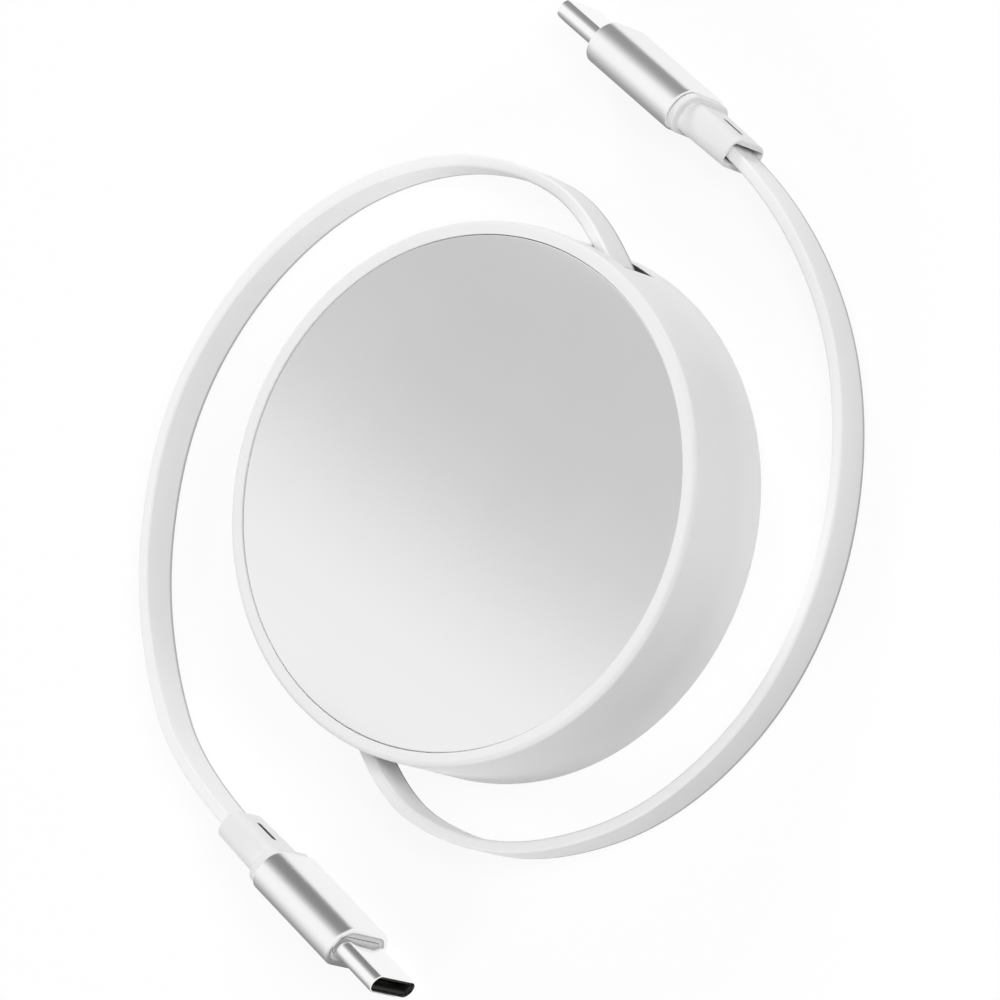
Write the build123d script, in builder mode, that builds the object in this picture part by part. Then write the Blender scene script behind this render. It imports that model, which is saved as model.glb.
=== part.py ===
# Retractable charging cable: a flat round case with a sprung reel, a ball lock and a plug on each end
import os
from math import cos, radians, tan

from build123d import *

# Driving dimensions in millimetres; +Z is the reel axis, and the case lies on its back at z = 0

# Case
case_radius = 31.0
wall_thickness = 1.8
rim_width = 1.6
rim_lip = 0.35
front_edge_round = 0.6
back_edge_bevel = 0.4
floor_thickness = 1.5
cover_ledge = 0.8
cover_gap = 0.1
ceiling_thickness = 1.2
inner_corner_bevel = 0.6
plate_thickness = 1.2
plate_gap = 0.1
plate_bevel = 0.15
seam_bevel = 0.2

# Flat cable
ribbon_width = 5.1
ribbon_thickness = 1.4
ribbon_side_play = 0.35
lying_gap = 0.05

# Cable exits, one on each side of the case
exit_heading = 54.0
slot_side_play = 1.1
slot_end_play = 0.65
tongue_gap = 0.08
guide_wall = 0.3
guide_gap = 0.05
guide_recess = 0.1

# Reel
reel_gap = 0.4
track_flange_thickness = 2.35
upper_flange_thickness = 1.1
flange_gap = 1.7
hub_radius = 11.0
hub_wall = 1.2
hub_seat_depth = 0.6
seat_gap = 0.05
running_clearance = 0.05
bearing_collar_radius = 4.2
bearing_collar_depth = 0.7
wound_margin = 6.1
wound_gap = 0.05

# Post and screw
post_radius = 3.0
journal_radius = 2.6
shoulder_gap = 0.2
screw_radius = 0.9
screw_gap = 0.1
screw_length = 6.0
screw_head_radius = 1.8
screw_head_height = 0.7
screw_head_sink = 0.8
pilot_spare = 0.5
driver_slot_width = 0.5
driver_slot_depth = 0.35

# Power spring
spring_thickness = 0.25
spring_width = 4.6
spring_lift = 0.3
spring_pitch = 0.9
spring_turns = 6
spring_inner_gap = 0.3
spring_hook_depth = 1.3
hook_slot_gap = 0.1

# Thrust washer
washer_radius = 5.5
washer_gap = 0.05
washer_bore_gap = 0.1

# Ball lock
ball_radius = 1.0
ball_gap = 0.05
ball_slot_gap = 0.15
ball_slot_depth = 0.55
lane_margin = 6.4
lane_spacing = 4.2
lane_side_gap = 0.3
lane_roof_gap = 0.2
island_count = 3
island_break = 5.0
catch_radius = 1.15
catch_depth = 0.45
ball_angle = 90.0

# USB-C plugs
shell_width = 8.25
shell_height = 2.4
shell_wall = 0.2
shell_length = 6.65
shell_root = 4.0
insert_recess = 0.35
mating_width = 6.9
mating_height = 1.0
mating_depth = 5.5
contact_count = 12
contact_pitch = 0.5
contact_width = 0.25
contact_thickness = 0.12
contact_setback = 1.3
contact_end_gap = 0.2
card_length = 5.5
card_width = 6.6
card_thickness = 0.6
sleeve_width = 10.4
sleeve_height = 5.4
sleeve_wall = 0.6
sleeve_length = 14.0
sleeve_bevel = 0.25
core_recess = 0.3
core_length = 11.0
piece_gap = 0.05
collar_width = 9.8
collar_height = 4.9
collar_length = 1.0
relief_root_width = 7.6
relief_root_height = 3.9
relief_mouth_width = 6.9
relief_mouth_height = 3.7
relief_round = 1.6
relief_length = 7.5
pocket_depth = 3.0
pocket_play = 0.45
slit_setback = 1.75
slit_length = 3.3
slit_width = 0.9
slit_depth = 0.9

# Heights of the stack inside the case
track_flange_bottom = floor_thickness + reel_gap
track_flange_top = track_flange_bottom + track_flange_thickness
upper_flange_bottom = track_flange_top + ribbon_width + 2 * ribbon_side_play
upper_flange_top = upper_flange_bottom + upper_flange_thickness
ceiling_bottom = upper_flange_top + reel_gap
ceiling_top = ceiling_bottom + ceiling_thickness
case_height = ceiling_top + plate_thickness + rim_lip
exit_height = (track_flange_top + upper_flange_bottom) / 2
slot_top = exit_height + ribbon_width / 2 + slot_end_play
tongue_top = exit_height - ribbon_width / 2 - slot_end_play
guide_bottom = tongue_top + guide_gap
guide_height = slot_top - guide_gap - guide_bottom
hub_bottom = track_flange_top - hub_seat_depth
shoulder_height = upper_flange_bottom - bearing_collar_depth - shoulder_gap
spring_bottom = track_flange_top + spring_lift
spring_top = spring_bottom + spring_width
screw_head_bottom = ceiling_top - screw_head_sink
screw_tip = screw_head_bottom - screw_length
ball_bottom = floor_thickness - ball_slot_depth + ball_gap
track_roof = ball_bottom + 2 * ball_radius + lane_roof_gap
lying_height = ribbon_width / 2 + lying_gap
plug_height = sleeve_width / 2 + lying_gap

# Radii that follow from the ones above
case_bore = case_radius - wall_thickness
cover_seat = case_bore + cover_ledge
cover_radius = cover_seat - cover_gap
plate_seat = case_radius - rim_width
plate_radius = plate_seat - plate_gap
flange_radius = case_bore - flange_gap
wound_radius = flange_radius - wound_margin
outer_lane_radius = flange_radius - lane_margin
inner_lane_radius = outer_lane_radius - lane_spacing
hub_bore = hub_radius - hub_wall
lane_half = ball_radius + lane_side_gap
island_middle = (outer_lane_radius + inner_lane_radius) / 2
hook_end = hub_bore + hub_wall / 2

# Routes of the two cable tails, from the reel through an exit to the pocket of the plug's boot
tail_routes = {
    "a": [
        (14.3, -17.3, exit_height), (23.2, -9.9, exit_height), (34.0, 4.9, exit_height),
        (34.4, 17.0, 6.2), (29.8, 29.7, 4.7), (19.5, 41.1, 3.2),
        (4.9, 47.6, lying_height), (-11.2, 48.2, lying_height), (-27.0, 42.2, lying_height),
        (-38.2, 33.0, 3.0), (-45.7, 20.8, plug_height), (-48.0, 8.8, plug_height),
    ],
    "b": [
        (-14.3, 17.3, exit_height), (-23.2, 9.9, exit_height), (-34.5, -5.7, exit_height),
        (-34.8, -16.6, 6.2), (-30.7, -26.4, 4.7), (-20.4, -36.3, 3.2),
        (-4.7, -42.0, lying_height), (11.3, -41.6, lying_height), (26.4, -35.6, lying_height),
        (38.3, -25.8, 3.0), (46.7, -12.7, plug_height), (48.1, -4.2, plug_height),
    ],
}
arc_share = 0.45

os.makedirs("parts", exist_ok=True)


def save(piece, name):
    piece.part.label = name
    export_step(piece.part, f"parts/{name}.step")


# Slanted channels through the wall, along the headings of the cable tails
slot_width = ribbon_thickness + 2 * slot_side_play


def exit_channels(width, count=2, first_turn=0):
    reach = 2.5 * wall_thickness / cos(radians(exit_heading))
    with BuildSketch() as channels:
        with PolarLocations(0, count, start_angle=first_turn):
            with Locations(Location((case_radius, 0, 0), (0, 0, exit_heading))):
                Rectangle(2 * reach, width)
    return channels.sketch


# Front shell: cup with the rim, the wall and the ceiling
with BuildPart() as front_shell:
    with BuildSketch(Plane.XZ) as shell_profile:
        with BuildLine():
            Polyline(
                (0, ceiling_bottom), (case_bore, ceiling_bottom), (case_bore, floor_thickness),
                (cover_seat, floor_thickness), (cover_seat, 0), (case_radius, 0),
                (case_radius, case_height), (plate_seat, case_height), (plate_seat, ceiling_top),
                (0, ceiling_top), close=True,
            )
        make_face()
        chamfer(shell_profile.vertices().sort_by_distance((case_bore, ceiling_bottom))[0], inner_corner_bevel)
        chamfer(shell_profile.vertices().sort_by_distance((case_radius, 0))[0], back_edge_bevel)
        fillet(shell_profile.vertices().sort_by_distance((case_radius, case_height))[0], front_edge_round)
    revolve(axis=Axis.Z)
    extrude(exit_channels(slot_width), amount=slot_top, mode=Mode.SUBTRACT)
    with Locations((0, 0, ceiling_top)):
        CounterBoreHole(screw_radius + screw_gap, screw_head_radius + screw_gap, screw_head_sink)
save(front_shell, "front_shell")

# Face plate: metal disc in the front recess
with BuildPart() as face_plate:
    with BuildSketch(Plane.XY.offset(ceiling_top)):
        Circle(plate_radius)
    extrude(amount=plate_thickness)
    chamfer(face_plate.edges().group_by(Axis.Z)[-1], plate_bevel)
save(face_plate, "face_plate")

# Rear cover: back plate, tongues that close the wall's notches, centre post and the ball's slot
with BuildPart() as rear_cover:
    with BuildSketch(Plane.XZ) as tongue_profile:
        with BuildLine():
            Polyline(
                (case_bore, 0), (case_radius, 0), (case_radius, tongue_top), (case_bore, tongue_top),
                close=True,
            )
        make_face()
        chamfer(tongue_profile.vertices().sort_by_distance((case_radius, 0))[0], back_edge_bevel)
    revolve(axis=Axis.Z)
    extrude(exit_channels(slot_width - 2 * tongue_gap), amount=tongue_top, mode=Mode.INTERSECT)
    with BuildSketch(Plane.XZ):
        with BuildLine():
            Polyline(
                (0, 0), (cover_radius - seam_bevel, 0), (cover_radius, seam_bevel),
                (cover_radius, floor_thickness), (post_radius, floor_thickness),
                (post_radius, shoulder_height), (journal_radius, shoulder_height),
                (journal_radius, ceiling_bottom), (0, ceiling_bottom), close=True,
            )
        make_face()
    revolve(axis=Axis.Z)
    with Locations((0, 0, ceiling_bottom)):
        Hole(screw_radius + screw_gap, depth=ceiling_bottom - screw_tip + pilot_spare)
    with BuildSketch(Plane.XY.offset(floor_thickness)):
        with PolarLocations(island_middle, 1, start_angle=ball_angle):
            SlotCenterToCenter(outer_lane_radius - inner_lane_radius, 2 * (ball_radius + ball_slot_gap))
    extrude(amount=-ball_slot_depth, mode=Mode.SUBTRACT)
    with BuildSketch(Plane.XY.offset(spring_bottom - hook_slot_gap)):
        with Locations((post_radius, 0)):
            Rectangle(2 * (spring_hook_depth + hook_slot_gap), spring_thickness + 2 * hook_slot_gap)
    extrude(amount=ceiling_bottom - spring_bottom + hook_slot_gap, mode=Mode.SUBTRACT)
save(rear_cover, "rear_cover")

# Exit guides: dark frames in the wall's notches, on the tongues, that the flat cable runs through
for guide_tag, guide_turn in {"a": 0, "b": 180}.items():
    guide_width = slot_width - 2 * guide_gap
    with BuildPart() as exit_guide:
        with BuildSketch(Plane.XY.offset(guide_bottom)):
            Circle(case_radius - guide_recess)
            Circle(case_bore, mode=Mode.SUBTRACT)
            add(exit_channels(guide_width, 1, guide_turn), mode=Mode.INTERSECT)
        extrude(amount=guide_height)
        with BuildSketch(Plane.XY.offset(guide_bottom + guide_wall)):
            add(exit_channels(guide_width - 2 * guide_wall, 1, guide_turn))
        extrude(amount=guide_height - 2 * guide_wall, mode=Mode.SUBTRACT)
    save(exit_guide, f"exit_guide_{guide_tag}")

# Centre screw: under the face plate, through the ceiling into the post
with BuildPart() as centre_screw:
    with BuildSketch(Plane.XZ):
        with BuildLine():
            Polyline(
                (0, screw_tip), (screw_radius, screw_tip), (screw_radius, screw_head_bottom),
                (screw_head_radius, screw_head_bottom),
                (screw_head_radius, screw_head_bottom + screw_head_height),
                (0, screw_head_bottom + screw_head_height), close=True,
            )
        make_face()
    revolve(axis=Axis.Z)
    with BuildSketch(Plane.XY.offset(screw_head_bottom + screw_head_height)):
        with PolarLocations(0, 2, angular_range=180):
            Rectangle(screw_head_radius, driver_slot_width)
    extrude(amount=-driver_slot_depth, mode=Mode.SUBTRACT)
save(centre_screw, "centre_screw")

# Thrust washer: lies on the rear cover round the post, under the reel
with BuildPart() as thrust_washer:
    with BuildSketch(Plane.XY.offset(floor_thickness)):
        Circle(washer_radius)
        Circle(post_radius + washer_bore_gap, mode=Mode.SUBTRACT)
    extrude(amount=reel_gap - washer_gap)
save(thrust_washer, "thrust_washer")

# Reel body: hub, upper flange and the upper bearing on the post's journal
with BuildPart() as reel_body:
    reel_bore = journal_radius + running_clearance
    collar_bottom = upper_flange_bottom - bearing_collar_depth
    with BuildSketch(Plane.XZ):
        with BuildLine():
            Polyline(
                (reel_bore, upper_flange_top), (flange_radius, upper_flange_top),
                (flange_radius, upper_flange_bottom), (hub_radius, upper_flange_bottom),
                (hub_radius, hub_bottom), (hub_bore, hub_bottom), (hub_bore, upper_flange_bottom),
                (bearing_collar_radius, upper_flange_bottom), (bearing_collar_radius, collar_bottom),
                (reel_bore, collar_bottom), close=True,
            )
        make_face()
    revolve(axis=Axis.Z)
    with BuildSketch(Plane.XY.offset(hub_bottom)):
        with Locations((hub_bore, 0)):
            Rectangle(2 * (hook_end - hub_bore + hook_slot_gap), spring_thickness + 2 * hook_slot_gap)
    extrude(amount=spring_top + hook_slot_gap - hub_bottom, mode=Mode.SUBTRACT)
save(reel_body, "reel_body")

# Track flange: lower flange with the hub's seat above and the ball's lock track below
with BuildPart() as track_flange:
    with BuildSketch(Plane.XY.offset(track_flange_bottom)):
        Circle(flange_radius)
        Circle(post_radius + running_clearance, mode=Mode.SUBTRACT)
    extrude(amount=track_flange_thickness)
    with BuildSketch(Plane.XY.offset(track_flange_top)):
        Circle(hub_radius + seat_gap)
        Circle(hub_bore - seat_gap, mode=Mode.SUBTRACT)
    extrude(amount=-hub_seat_depth, mode=Mode.SUBTRACT)
    with BuildSketch(Plane.XY.offset(track_flange_bottom)):
        Circle(outer_lane_radius + lane_half)
        Circle(outer_lane_radius - lane_half, mode=Mode.SUBTRACT)
        Circle(inner_lane_radius + lane_half)
        Circle(inner_lane_radius - lane_half, mode=Mode.SUBTRACT)
        with PolarLocations(island_middle, island_count, start_angle=ball_angle):
            Rectangle(outer_lane_radius - inner_lane_radius, island_break)
            with Locations((0, island_break / 2 + catch_depth - catch_radius)):
                Circle(catch_radius)
    extrude(amount=track_roof - track_flange_bottom, mode=Mode.SUBTRACT)
save(track_flange, "track_flange")

# Power spring: flat spiral of half-circle arcs, hooked into the post and the hub
with BuildPart() as power_spring:
    half_strip = spring_thickness / 2
    first_radius = post_radius + spring_inner_gap + half_strip
    last_radius = first_radius + spring_turns * spring_pitch
    with BuildSketch(Plane.XY.offset(spring_bottom)):
        with BuildLine():
            for half_turn in range(2 * spring_turns):
                side = -1 if half_turn % 2 == 0 else 1
                arc_radius = first_radius + (half_turn + 0.5) * spring_pitch / 2
                for edge_shift in (-half_strip, half_strip):
                    CenterArc((side * spring_pitch / 4, 0), arc_radius + edge_shift, 90 + 90 * side, 180)
            Line((first_radius - half_strip, 0), (first_radius + half_strip, 0))
            Line((last_radius - half_strip, 0), (last_radius + half_strip, 0))
        make_face()
        inner_end = post_radius - spring_hook_depth
        with Locations((inner_end, 0)):
            Rectangle(
                first_radius + half_strip - inner_end, spring_thickness, align=(Align.MIN, Align.CENTER)
            )
        with Locations((hook_end, 0)):
            Rectangle(
                hook_end - last_radius + half_strip, spring_thickness, align=(Align.MAX, Align.CENTER)
            )
    extrude(amount=spring_width)
save(power_spring, "power_spring")

# Wound cable: the outer shape of the layers still on the hub
with BuildPart() as wound_cable:
    with BuildSketch(Plane.XY.offset(exit_height - ribbon_width / 2)):
        Circle(wound_radius)
        Circle(hub_radius + wound_gap, mode=Mode.SUBTRACT)
    extrude(amount=ribbon_width)
save(wound_cable, "wound_cable")

# Lock ball: in the outer lane of the track, in line with a break between islands
with BuildPart() as lock_ball:
    with PolarLocations(outer_lane_radius, 1, start_angle=ball_angle):
        with Locations((0, 0, ball_bottom + ball_radius)):
            Sphere(ball_radius)
save(lock_ball, "lock_ball")


# Cable tail: the flat cable swept upright along straight runs and tangent arcs
def make_tail(tag, route):
    corners = [Vector(*point) for point in route]
    radii = []
    for before, corner, after in zip(corners, corners[1:], corners[2:]):
        arriving = corner - before
        leaving = after - corner
        half_turn = radians(arriving.get_angle(leaving) / 2)
        radii.append(arc_share * min(arriving.length, leaving.length) / tan(half_turn))
    with BuildLine() as path:
        FilletPolyline(*route, radius=radii)
    spine = path.wires()[0]
    start = Plane(origin=corners[0], x_dir=(0, 0, 1), z_dir=corners[1] - corners[0])
    with BuildPart() as cable_tail:
        with BuildSketch(start):
            Rectangle(ribbon_width, ribbon_thickness)
        sweep(path=spine, binormal=spine.moved(Location((0, 0, ribbon_width))))
    save(cable_tail, f"cable_tail_{tag}")
    full_volume = ribbon_width * ribbon_thickness * spine.length
    print(f"cable_tail_{tag}: length {spine.length:.1f}, radii {[round(radius, 1) for radius in radii]}")
    print(f"cable_tail_{tag}: volume {cable_tail.part.volume:.1f}, section x length {full_volume:.1f}")


# Plug: its pieces follow each other from the end of the cable tail, standing on the narrow side
def make_plug(tag, route):
    end = Vector(*route[-1])
    heading = end - Vector(*route[-2])
    base = Plane(origin=end, x_dir=(0, 0, 1), z_dir=heading)
    along = Axis(end, heading)

    # Stations along the plug, measured from the end of the cable
    mouth = -pocket_depth
    collar_start = mouth + relief_length
    sleeve_start = collar_start + collar_length
    sleeve_end = sleeve_start + sleeve_length
    core_end = sleeve_end - core_recess
    core_start = core_end - core_length
    shell_start = sleeve_end - shell_root
    shell_end = sleeve_end + shell_length
    insert_end = shell_end - insert_recess
    sleeve_bore_width = sleeve_width - 2 * sleeve_wall
    sleeve_bore_height = sleeve_height - 2 * sleeve_wall
    inner_shell_width = shell_width - 2 * shell_wall
    inner_shell_height = shell_height - 2 * shell_wall

    with BuildPart() as strain_relief:
        with BuildSketch(base.offset(mouth)):
            RectangleRounded(relief_mouth_width, relief_mouth_height, relief_round)
        with BuildSketch(base.offset(collar_start)):
            RectangleRounded(relief_root_width, relief_root_height, relief_round)
        loft()
        with BuildSketch(base.offset(collar_start)):
            SlotOverall(collar_width, collar_height)
        extrude(amount=collar_length)
        with BuildSketch(base.offset(sleeve_start)):
            SlotOverall(sleeve_bore_width - 2 * piece_gap, sleeve_bore_height - 2 * piece_gap)
        extrude(amount=core_start - sleeve_start)
        with BuildSketch(base.offset(mouth)):
            Rectangle(ribbon_width + 2 * pocket_play, ribbon_thickness + 2 * pocket_play)
        extrude(amount=pocket_depth, mode=Mode.SUBTRACT)
        with BuildSketch(base.offset(mouth + slit_setback)):
            with GridLocations(0, relief_mouth_height, 1, 2):
                Rectangle(slit_width, 2 * slit_depth)
        extrude(amount=slit_length, mode=Mode.SUBTRACT)
    save(strain_relief, f"strain_relief_{tag}")

    with BuildPart() as sleeve:
        with BuildSketch(base.offset(sleeve_start)):
            SlotOverall(sleeve_width, sleeve_height)
            SlotOverall(sleeve_bore_width, sleeve_bore_height, mode=Mode.SUBTRACT)
        extrude(amount=sleeve_length)
        ends = sleeve.faces().sort_by(along)
        chamfer(ends[0].outer_wire().edges() + ends[-1].outer_wire().edges(), sleeve_bevel)
    save(sleeve, f"sleeve_{tag}")

    with BuildPart() as plug_core:
        with BuildSketch(base.offset(core_start)):
            SlotOverall(sleeve_bore_width - 2 * piece_gap, sleeve_bore_height - 2 * piece_gap)
        extrude(amount=core_length)
        with BuildSketch(base.offset(shell_start)):
            SlotOverall(shell_width + 2 * piece_gap, shell_height + 2 * piece_gap)
        extrude(amount=core_end - shell_start, mode=Mode.SUBTRACT)
        with BuildSketch(base.offset(shell_start)):
            Rectangle(card_width + 2 * piece_gap, card_thickness + 2 * piece_gap)
        extrude(amount=-card_length - piece_gap, mode=Mode.SUBTRACT)
    save(plug_core, f"plug_core_{tag}")

    with BuildPart() as paddle_card:
        with BuildSketch(base.offset(shell_start - card_length)):
            Rectangle(card_width, card_thickness)
        extrude(amount=card_length)
    save(paddle_card, f"paddle_card_{tag}")

    with BuildPart() as plug_shell:
        with BuildSketch(base.offset(shell_start)):
            SlotOverall(shell_width, shell_height)
            SlotOverall(inner_shell_width, inner_shell_height, mode=Mode.SUBTRACT)
        extrude(amount=shell_root + shell_length)
    save(plug_shell, f"plug_shell_{tag}")

    with BuildPart() as contact_insert:
        with BuildSketch(base.offset(shell_start)):
            SlotOverall(inner_shell_width - 2 * piece_gap, inner_shell_height - 2 * piece_gap)
        extrude(amount=insert_end - shell_start)
        with BuildSketch(base.offset(insert_end)):
            Rectangle(mating_width, mating_height)
        extrude(amount=-mating_depth, mode=Mode.SUBTRACT)
    save(contact_insert, f"contact_insert_{tag}")

    with BuildPart() as contacts:
        with BuildSketch(base.offset(insert_end - contact_setback)):
            with GridLocations(contact_pitch, mating_height - contact_thickness, contact_count, 2):
                Rectangle(contact_width, contact_thickness)
        extrude(amount=contact_setback + contact_end_gap - mating_depth)
    save(contacts, f"contacts_{tag}")


for tail_tag, tail_route in tail_routes.items():
    make_tail(tail_tag, tail_route)
    make_plug(tail_tag, tail_route)
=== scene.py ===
from math import cos, pi, radians, sin

import bmesh
import bpy
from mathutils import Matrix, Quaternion, Vector


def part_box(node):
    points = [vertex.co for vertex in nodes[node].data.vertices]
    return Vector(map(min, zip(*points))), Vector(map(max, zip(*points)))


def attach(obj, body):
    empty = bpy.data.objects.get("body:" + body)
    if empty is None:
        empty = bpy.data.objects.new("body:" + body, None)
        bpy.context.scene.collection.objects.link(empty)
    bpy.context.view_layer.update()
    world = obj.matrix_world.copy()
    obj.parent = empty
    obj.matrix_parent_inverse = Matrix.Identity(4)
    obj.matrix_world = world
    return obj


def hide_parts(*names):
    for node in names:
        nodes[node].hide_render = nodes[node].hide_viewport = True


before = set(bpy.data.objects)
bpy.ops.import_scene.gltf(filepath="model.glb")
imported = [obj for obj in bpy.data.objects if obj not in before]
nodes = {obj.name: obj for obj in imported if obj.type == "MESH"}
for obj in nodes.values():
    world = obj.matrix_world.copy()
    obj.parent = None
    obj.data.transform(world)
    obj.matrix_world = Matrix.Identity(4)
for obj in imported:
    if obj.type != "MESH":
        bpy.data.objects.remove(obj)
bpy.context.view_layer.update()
scene = bpy.context.scene
mm = 0.001
print("frame loaded,", len(nodes), "nodes")

# the camera of the photograph, far off with a long lens and rolled on its side
cameraView = dict(place=(0.11193, -0.49687, 0.74839), aim=(0.00067, -0.00067, 0.00715),
                  roll=-73.04, lens=288, sensor=36)


def addCamera(view):
    data = bpy.data.cameras.new("photoCamera")
    data.lens, data.sensor_width = view["lens"], view["sensor"]
    camera = bpy.data.objects.new("photoCamera", data)
    scene.collection.objects.link(camera)
    place = Vector(view["place"])
    upright = (Vector(view["aim"]) - place).to_track_quat("-Z", "Y")
    camera.location = place
    camera.rotation_mode = "QUATERNION"
    camera.rotation_quaternion = upright @ Quaternion((0, 0, 1), radians(view["roll"]))
    scene.camera = camera


addCamera(cameraView)


# shader maths as plain expressions: each operator on a wire adds one Math node
class Wire:
    def __init__(self, finish, socket):
        self.finish, self.socket = finish, socket

    def maths(self, operation, first, second):
        return self.finish.node("Math", {"operation": operation}, {0: first, 1: second})

    def __add__(self, other):
        return self.maths("ADD", self, other)

    __radd__ = __add__

    def __sub__(self, other):
        return self.maths("SUBTRACT", self, other)

    def __rsub__(self, other):
        return self.maths("SUBTRACT", other, self)

    def __mul__(self, other):
        return self.maths("MULTIPLY", self, other)

    __rmul__ = __mul__


class Finish:
    def __init__(self, name, kind="materials"):
        self.holder = getattr(bpy.data, kind).new(name)
        self.holder.use_nodes = True
        self.tree = self.holder.node_tree
        self.tree.nodes.clear()

    def node(self, kind, settings={}, sockets={}, output=0):
        made = self.tree.nodes.new("ShaderNode" + kind)
        for name, value in settings.items():
            if name == "stops":
                ramp = made.color_ramp
                while len(ramp.elements) < len(value):
                    ramp.elements.new(1)
                for element, (position, colour) in zip(ramp.elements, value):
                    element.position, element.color = position, (*colour, 1)
            else:
                setattr(made, name, value)
        for name, value in sockets.items():
            if isinstance(value, Wire):
                self.tree.links.new(value.socket, made.inputs[name])
            else:
                made.inputs[name].default_value = value
        return Wire(self, made.outputs[output])

    def coords(self, output="Object", scale=(1, 1, 1)):
        return self.node("Mapping", {}, {"Vector": self.node("TexCoord", output=output), "Scale": scale})

    def noise(self, vector, scale, detail=2, roughness=0.5):
        return self.node("TexNoise", {}, {"Vector": vector, "Scale": scale, "Detail": detail,
                                          "Roughness": roughness}, output="Fac")

    def mix(self, factor, *colours):
        ends = [colour if isinstance(colour, Wire) else (*colour, 1) for colour in colours]
        return self.node("Mix", {"data_type": "RGBA"}, {"Factor": factor, 6: ends[0], 7: ends[1]}, output=2)

    def ramp(self, stops, factor):
        greys = [(position, (tone, tone, tone)) for position, tone in stops]
        return self.node("ValToRGB", {"stops": greys}, {"Fac": factor})

    def bump(self, height, strength, distance):
        return self.node("Bump", {}, {"Height": height, "Strength": strength, "Distance": distance})

    def surface(self, shader, kind="OutputMaterial"):
        target = self.tree.nodes.new("ShaderNode" + kind)
        self.tree.links.new(shader.socket, target.inputs["Surface"])
        return self.holder

    def principled(self, sockets):
        return self.surface(self.node("BsdfPrincipled", {}, sockets))


# one entry for each finish: two close tones that a soft noise mixes, roughness and its spread, grain and its depth
finishes = {
    "whiteCase": dict(tones=((0.86, 0.86, 0.86), (0.885, 0.885, 0.885)), roughness=0.34, spread=0.08,
                      grain=2600, depth=0.012, sockets={"Specular IOR Level": 0.45}),
    "whiteBoot": dict(tones=((0.82, 0.82, 0.82), (0.85, 0.85, 0.85)), roughness=0.46, spread=0.1,
                      grain=3000, depth=0.025, sockets={"Specular IOR Level": 0.4}),
    "satinAluminium": dict(tones=((0.91, 0.91, 0.913), (0.94, 0.94, 0.943)), roughness=0.3, spread=0.08,
                           grain=6000, depth=0.02, sockets={"Metallic": 1}),
    "plugSteel": dict(tones=((0.92, 0.92, 0.92), (0.95, 0.95, 0.95)), roughness=0.12, spread=0.05,
                      grain=4200, depth=0.006, sockets={"Metallic": 1}),
    # near-black painted shade: the exit guides in the cable exits and the fillings of the boot slits take it
    "darkSlotShade": dict(tones=((0.03, 0.03, 0.03), (0.045, 0.045, 0.045)), roughness=0.6, spread=0.1,
                      grain=3500, depth=0.04, sockets={"Specular IOR Level": 0.3}),
    "blackInsulator": dict(tones=((0.008, 0.008, 0.008), (0.014, 0.014, 0.014)), roughness=0.55, spread=0.1,
                           grain=4000, depth=0.03, sockets={"Specular IOR Level": 0.2}),
    "goldContact": dict(tones=((0.83, 0.6, 0.26), (0.9, 0.68, 0.34)), roughness=0.24, spread=0.1,
                        grain=5000, depth=0.01, sockets={"Metallic": 1}),
    "circuitBoard": dict(tones=((0.02, 0.13, 0.05), (0.03, 0.19, 0.08)), roughness=0.38, spread=0.1,
                         grain=1500, depth=0.04, sockets={}),
    "plugMould": dict(tones=((0.84, 0.84, 0.84), (0.88, 0.88, 0.88)), roughness=0.5, spread=0.1,
                      grain=3000, depth=0.04, sockets={}),
    "naturalPlastic": dict(tones=((0.82, 0.82, 0.79), (0.87, 0.87, 0.84)), roughness=0.42, spread=0.1,
                           grain=2200, depth=0.03, sockets={}),
    "springSteel": dict(tones=((0.4, 0.42, 0.46), (0.52, 0.54, 0.58)), roughness=0.3, spread=0.12,
                        grain=3500, depth=0.02, sockets={"Metallic": 1}),
    "plainSteel": dict(tones=((0.56, 0.56, 0.56), (0.66, 0.66, 0.66)), roughness=0.34, spread=0.12,
                       grain=3500, depth=0.02, sockets={"Metallic": 1}),
    "brightSteel": dict(tones=((0.74, 0.74, 0.75), (0.8, 0.8, 0.81)), roughness=0.08, spread=0.04,
                        grain=3000, depth=0.004, sockets={"Metallic": 1}),
}
cloudScale, cloudDetail = 70, 3  # a slow drift of tone and gloss over a few centimetres
grainDetail, grainRoughness, grainHeight = 2, 0.6, 0.2 * mm


def plainFinish(name, look):
    finish = Finish(name)
    place = finish.coords()
    cloud = finish.noise(place, cloudScale, cloudDetail)
    grain = finish.noise(place, look["grain"], grainDetail, grainRoughness)
    low, high = look["tones"]
    return finish.principled({
        "Base Color": finish.mix(cloud, low, high),
        "Roughness": look["roughness"] + (cloud - 0.5) * look["spread"],
        "Normal": finish.bump(grain, look["depth"], grainHeight),
        **look["sockets"],
    })


# the flat cable: a drawn skin with fine lines along it, and a thin grey line along its lower edge that is painted
# shade
cableLook = dict(tones=((0.905, 0.905, 0.905), (0.93, 0.93, 0.93)), lowerEdgeShadeTone=(0.42, 0.42, 0.42), lowerEdgeShadeAmount=0.8,
                 edge=((0, 1), (0.1, 1), (0.14, 0)), roughness=0.46, spread=0.1, linesAlong=90,
                 linesAcross=5200, depth=0.05, lineHeight=0.1 * mm, specular=0.35)


def cableFinish(name, look):
    finish = Finish(name)
    cloud = finish.noise(finish.coords(), cloudScale, cloudDetail)
    lines = finish.noise(finish.coords("UV", (look["linesAlong"], look["linesAcross"], 1)), 1)
    across = finish.node("Attribute", {"attribute_name": "across"}, output="Fac")
    # painted shade: the cable's colour turns grey along its lower edge, where the across value is near 0
    edge = finish.ramp(look["edge"], across)
    low, high = look["tones"]
    skin = finish.mix(cloud, low, high)
    return finish.principled({
        "Base Color": finish.mix(edge * look["lowerEdgeShadeAmount"], skin, look["lowerEdgeShadeTone"]),
        "Roughness": look["roughness"] + (cloud - 0.5) * look["spread"],
        "Normal": finish.bump(lines, look["depth"], look["lineHeight"]),
        "Specular IOR Level": look["specular"],
    })


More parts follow.
